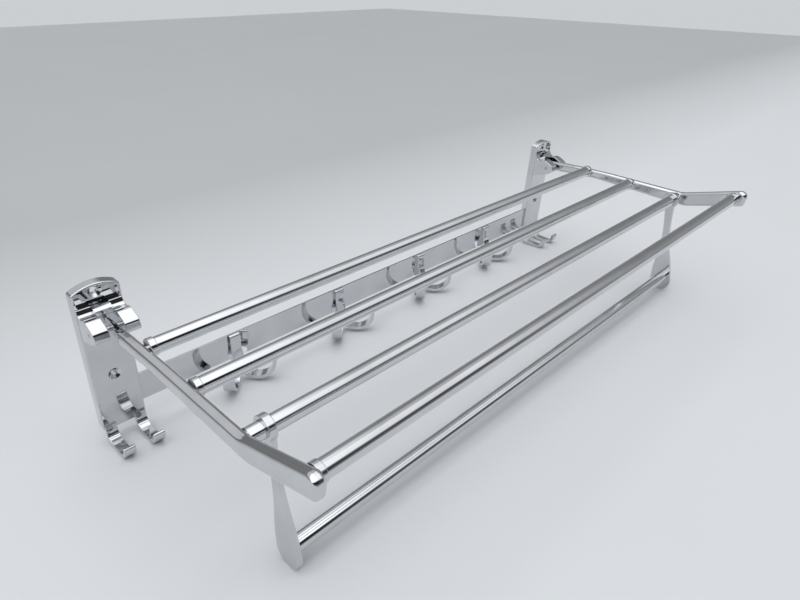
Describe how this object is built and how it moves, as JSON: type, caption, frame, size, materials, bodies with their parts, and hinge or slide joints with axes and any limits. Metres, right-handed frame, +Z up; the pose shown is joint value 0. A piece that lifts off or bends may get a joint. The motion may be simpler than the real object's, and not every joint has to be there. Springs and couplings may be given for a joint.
{
  "type": "towel rack",
  "caption": "Folding chrome wall rack for towels: a tube shelf on hinged side arms, a swinging bar under it, and a rail of double hooks between two wall brackets.",
  "frame": {"origin": "centre of the four wall screw holes, on the wall plane", "axes": "+X along the rack to its right, -Y away from the wall, +Z up"},
  "size_m": [0.6, 0.2531, 0.1407],
  "materials": {
    "cast_chrome": "polished plated casting",
    "tube_chrome": "polished plated tube",
    "rail_chrome": "polished plated flat bar",
    "pin_steel": "ground pin ends"
  },
  "bodies": {
    "wall_frame": {"wall_bracket_left": "cast_chrome", "wall_bracket_right": "cast_chrome", "hinge_pin_left": "pin_steel", "hinge_pin_right": "pin_steel", "hook_rail": "rail_chrome", "rail_hook_1": "cast_chrome", "rail_hook_2": "cast_chrome", "rail_hook_3": "cast_chrome", "rail_hook_4": "cast_chrome"},
    "shelf": {"side_arm_left": "cast_chrome", "ferrule_1_left": "cast_chrome", "ferrule_2_left": "cast_chrome", "ferrule_4_left": "cast_chrome", "side_arm_right": "cast_chrome", "ferrule_1_right": "cast_chrome", "ferrule_2_right": "cast_chrome", "ferrule_4_right": "cast_chrome", "shelf_tube_1": "tube_chrome", "shelf_tube_2": "tube_chrome", "shelf_tube_3": "tube_chrome", "shelf_tube_4": "tube_chrome"},
    "hanging_bar": {"hanger_leg_left": "cast_chrome", "hanger_leg_right": "cast_chrome", "towel_bar": "tube_chrome"}
  },
  "joints": [
    {"name": "shelf_fold", "type": "hinge", "parent": "wall_frame", "child": "shelf", "pos_m": [0, -0.025, 0.015], "axis": [-1, 0, 0], "range_deg": [0, 85]},
    {"name": "bar_swing", "type": "hinge", "parent": "shelf", "child": "hanging_bar", "pos_m": [0, -0.1845, 0.0223], "axis": [-1, 0, 0], "range_deg": [-85, 70]}
  ]
}
